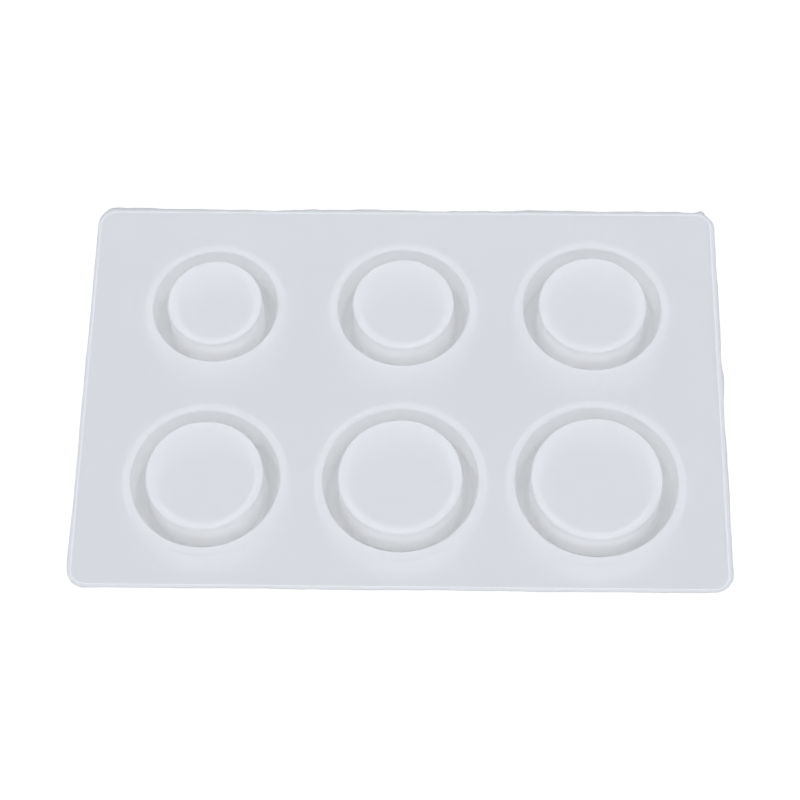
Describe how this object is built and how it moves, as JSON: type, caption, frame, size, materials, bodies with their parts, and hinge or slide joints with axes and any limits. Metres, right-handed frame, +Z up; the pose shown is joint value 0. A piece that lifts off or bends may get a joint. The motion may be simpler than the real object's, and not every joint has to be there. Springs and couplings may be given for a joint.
{
  "type": "resin casting mould",
  "caption": "Flat white silicone mould for casting finger rings in resin: a thin sheet with ring-shaped troughs of stepped size, each round a raised hollow core.",
  "frame": {"origin": "on the resting plane under the middle of the sheet", "axes": "+X along the sheet's length, +Y from the front row of larger rings to the rear row, +Z up out of the troughs' mouths"},
  "size_m": [0.099, 0.065, 0.0088],
  "materials": {
    "sheet_silicone": "smooth translucent white silicone, glossy upper face",
    "cup_silicone": "smooth translucent white silicone, satin",
    "core_silicone": "smooth translucent white silicone, glossy roof"
  },
  "bodies": {
    "root": {"top_sheet": "sheet_silicone", "cup_rear_left": "cup_silicone", "cup_rear_middle": "cup_silicone", "cup_rear_right": "cup_silicone", "cup_front_left": "cup_silicone", "cup_front_middle": "cup_silicone", "cup_front_right": "cup_silicone", "core_rear_left": "core_silicone", "core_rear_middle": "core_silicone", "core_rear_right": "core_silicone", "core_front_left": "core_silicone", "core_front_middle": "core_silicone", "core_front_right": "core_silicone"}
  },
  "joints": []
}
